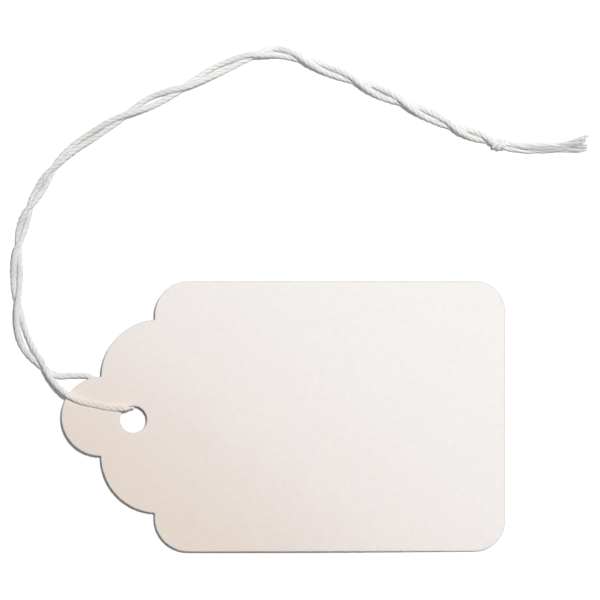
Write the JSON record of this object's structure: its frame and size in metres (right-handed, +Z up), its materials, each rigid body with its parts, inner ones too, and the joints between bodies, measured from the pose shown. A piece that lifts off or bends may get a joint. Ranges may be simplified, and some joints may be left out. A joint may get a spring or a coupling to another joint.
{
  "type": "clothing hang tag",
  "caption": "Blank off-white paper hang tag with a scalloped, round-tipped hole end, lying flat with a knotted white cotton string threaded through its punched hole to hang it from a garment",
  "frame": {"origin": "middle of the card's box on the surface that the tag lies on, the string left out", "axes": "+X runs along the card from the hole end to the plain end, +Y across the card to the side where the string lies, +Z up out of the front face"},
  "size_m": [0.0949, 0.0832, 0.0027],
  "materials": {
    "card": "uncoated smooth tag stock, matte",
    "string": "bleached plied cotton, matte and slightly fuzzy"
  },
  "bodies": {
    "card": {"tag_card": "card"},
    "eye": {"string_eye": "string"},
    "string": {"front_strand": "string", "back_strand": "string", "knot": "string", "front_tail": "string", "back_tail": "string"}
  },
  "joints": [
    {"name": "string_swing", "type": "hinge", "parent": "card", "child": "eye", "pos_m": [-0.0247, -0.0005, 0.0013], "axis": [0, 0, 1], "range_deg": [-35, 80]},
    {"name": "string_lift", "type": "hinge", "parent": "eye", "child": "string", "pos_m": [-0.039, 0.0076, 0.002], "axis": [1, 0, 0], "range_deg": [0, 120]}
  ]
}
